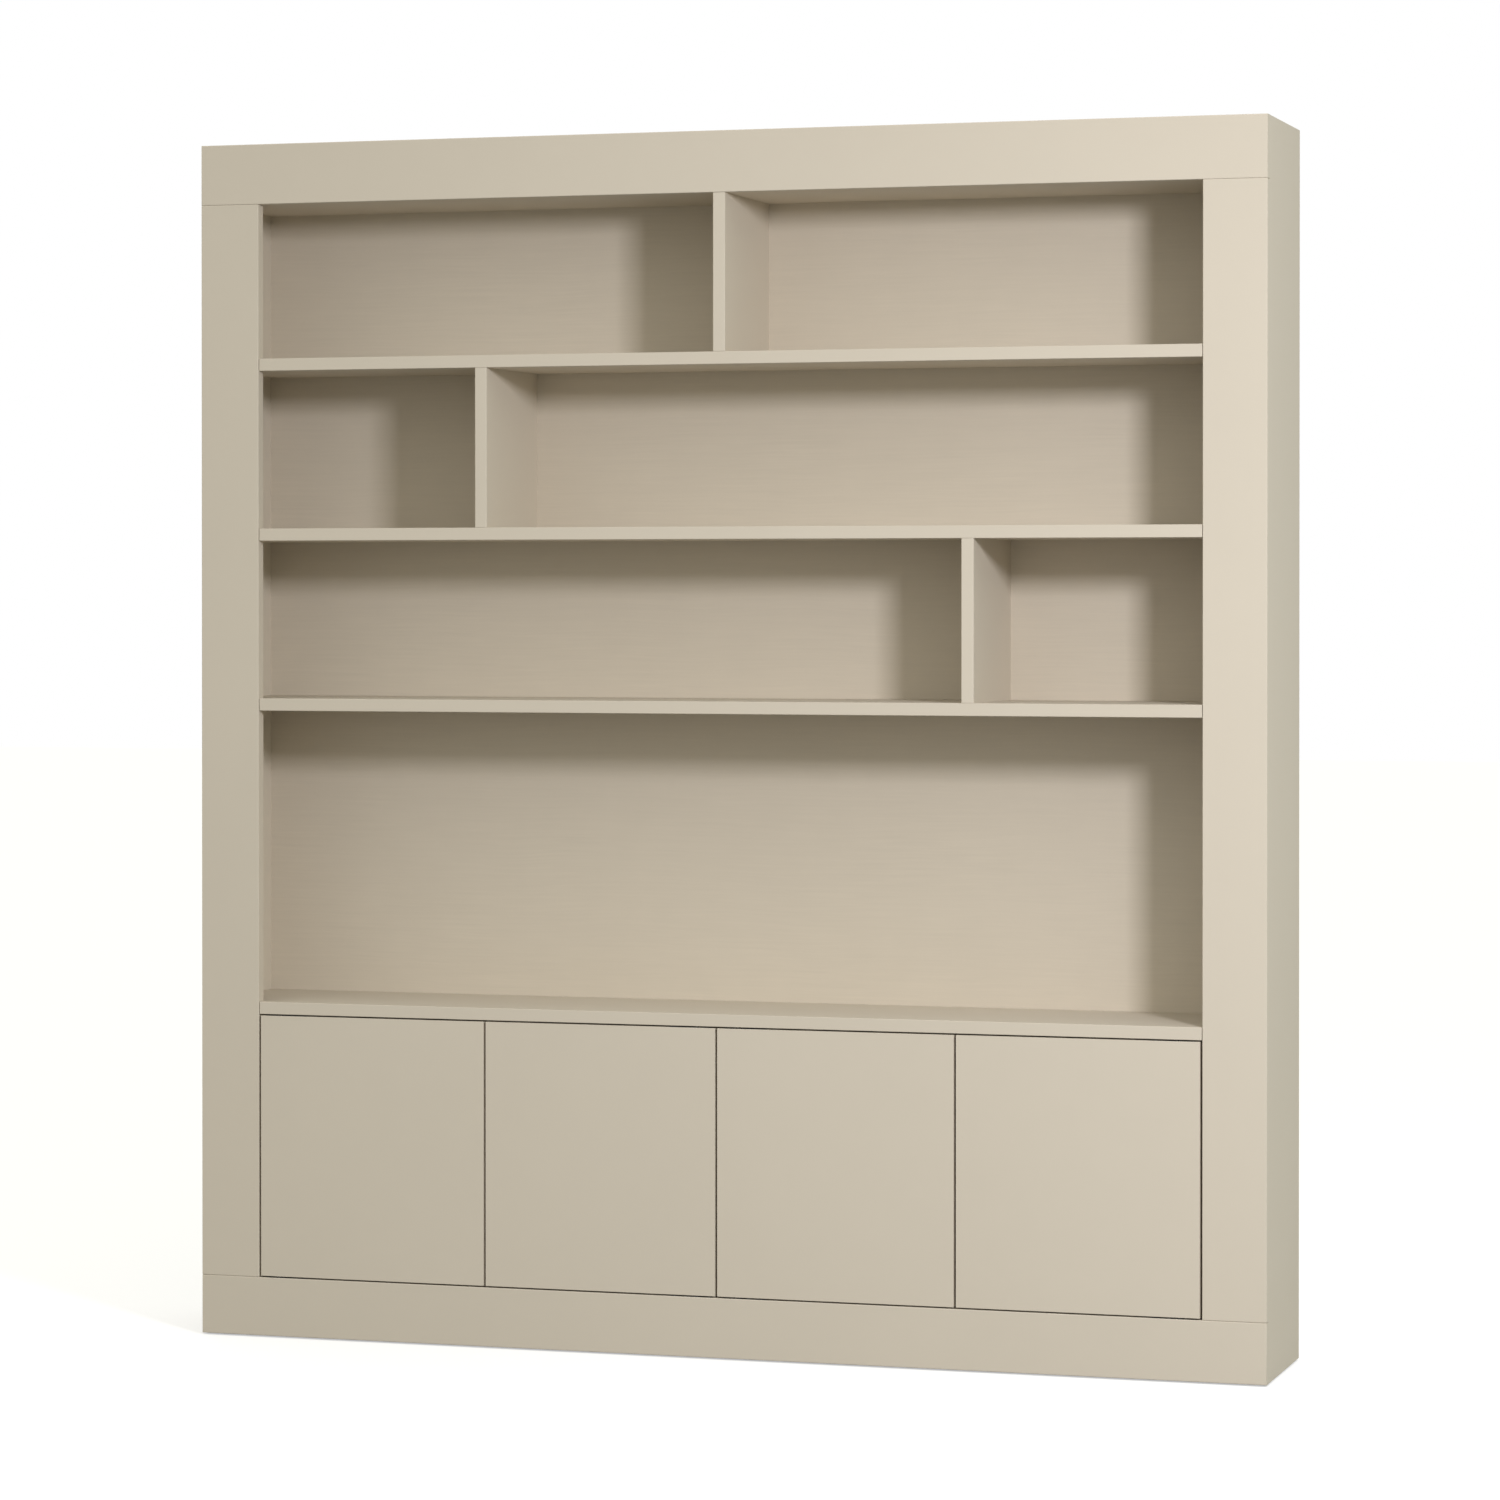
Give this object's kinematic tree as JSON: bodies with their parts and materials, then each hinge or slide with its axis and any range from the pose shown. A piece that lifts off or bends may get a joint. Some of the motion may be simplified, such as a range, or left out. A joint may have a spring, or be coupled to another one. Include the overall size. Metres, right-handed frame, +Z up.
{
  "type": "wall unit",
  "caption": "Tall painted wall unit: open shelves with offset dividers in a face frame, above a counter and a cupboard with flush doors on hidden pivots and push latches.",
  "frame": {"origin": "on the floor, under the middle of the unit's width and depth", "axes": "+X to the right as seen from the front, +Y to the wall behind, +Z up; the doors face -Y"},
  "size_m": [1.95, 0.3, 2.15],
  "materials": {
    "painted_board": "satin paint, warm clay beige",
    "painted_panel": "satin paint over faint grain",
    "bare_board": "unpainted board",
    "dowel_wood": "fluted beech, unfinished",
    "zinc_steel": "zinc plated",
    "pale_plastic": "matte",
    "dark_plastic": "matte"
  },
  "bodies": {
    "carcass": {"top_rail": "painted_board", "bottom_rail": "painted_board", "stile_left": "painted_board", "stile_right": "painted_board", "side_panel_left": "painted_board", "side_panel_right": "painted_board", "top_cover": "painted_board", "ceiling_panel": "painted_board", "floor_panel": "painted_board", "shelf_upper": "painted_board", "shelf_middle": "painted_board", "shelf_lower": "painted_board", "counter": "painted_board", "divider_upper": "painted_board", "divider_middle": "painted_board", "divider_lower": "painted_board", "cupboard_partition": "painted_board", "back_sheet_cupboard": "painted_panel", "back_sheet_niche": "painted_panel", "back_sheet_shelves": "painted_panel", "plinth_rear_rail": "bare_board", "plinth_bearers": "bare_board", "cupboard_shelf_left": "painted_board", "cupboard_shelf_right": "painted_board", "shelf_pegs": "zinc_steel", "carcass_dowels": "dowel_wood", "pivot_plates": "zinc_steel", "pivot_plate_screws": "zinc_steel", "pivot_washers": "dark_plastic", "latch_housings": "pale_plastic", "latch_screws": "zinc_steel", "latch_springs": "zinc_steel", "levelling_sockets": "dark_plastic", "levelling_feet": "dark_plastic", "wall_brackets": "zinc_steel", "wall_bracket_screws": "zinc_steel"},
    "door_1_body": {"door_1": "painted_board", "door_1_pivot_leaves": "zinc_steel", "door_1_leaf_screws": "zinc_steel", "door_1_strike_plate": "zinc_steel"},
    "door_2_body": {"door_2": "painted_board", "door_2_pivot_leaves": "zinc_steel", "door_2_leaf_screws": "zinc_steel", "door_2_strike_plate": "zinc_steel"},
    "door_3_body": {"door_3": "painted_board", "door_3_pivot_leaves": "zinc_steel", "door_3_leaf_screws": "zinc_steel", "door_3_strike_plate": "zinc_steel"},
    "door_4_body": {"door_4": "painted_board", "door_4_pivot_leaves": "zinc_steel", "door_4_leaf_screws": "zinc_steel", "door_4_strike_plate": "zinc_steel"},
    "plunger_1_body": {"latch_plunger_1": "pale_plastic"},
    "plunger_2_body": {"latch_plunger_2": "pale_plastic"},
    "plunger_3_body": {"latch_plunger_3": "pale_plastic"},
    "plunger_4_body": {"latch_plunger_4": "pale_plastic"}
  },
  "joints": [
    {"name": "door_1_hinge", "type": "hinge", "parent": "carcass", "child": "door_1_body", "pos_m": [-0.824, -0.14, 0.3455], "axis": [0, 0, -1], "range_deg": [0, 110]},
    {"name": "door_2_hinge", "type": "hinge", "parent": "carcass", "child": "door_2_body", "pos_m": [-0.038, -0.14, 0.3455], "axis": [0, 0, 1], "range_deg": [0, 90]},
    {"name": "door_3_hinge", "type": "hinge", "parent": "carcass", "child": "door_3_body", "pos_m": [0.038, -0.14, 0.3455], "axis": [0, 0, -1], "range_deg": [0, 90]},
    {"name": "door_4_hinge", "type": "hinge", "parent": "carcass", "child": "door_4_body", "pos_m": [0.824, -0.14, 0.3455], "axis": [0, 0, 1], "range_deg": [0, 110]},
    {"name": "latch_1_push", "type": "slide", "parent": "carcass", "child": "plunger_1_body", "axis": [0, 1, 0], "range_m": [0, 0.003], "stiffness_N_per_m": 200},
    {"name": "latch_2_push", "type": "slide", "parent": "carcass", "child": "plunger_2_body", "axis": [0, 1, 0], "range_m": [0, 0.003], "stiffness_N_per_m": 200},
    {"name": "latch_3_push", "type": "slide", "parent": "carcass", "child": "plunger_3_body", "axis": [0, 1, 0], "range_m": [0, 0.003], "stiffness_N_per_m": 200},
    {"name": "latch_4_push", "type": "slide", "parent": "carcass", "child": "plunger_4_body", "axis": [0, 1, 0], "range_m": [0, 0.003], "stiffness_N_per_m": 200}
  ]
}
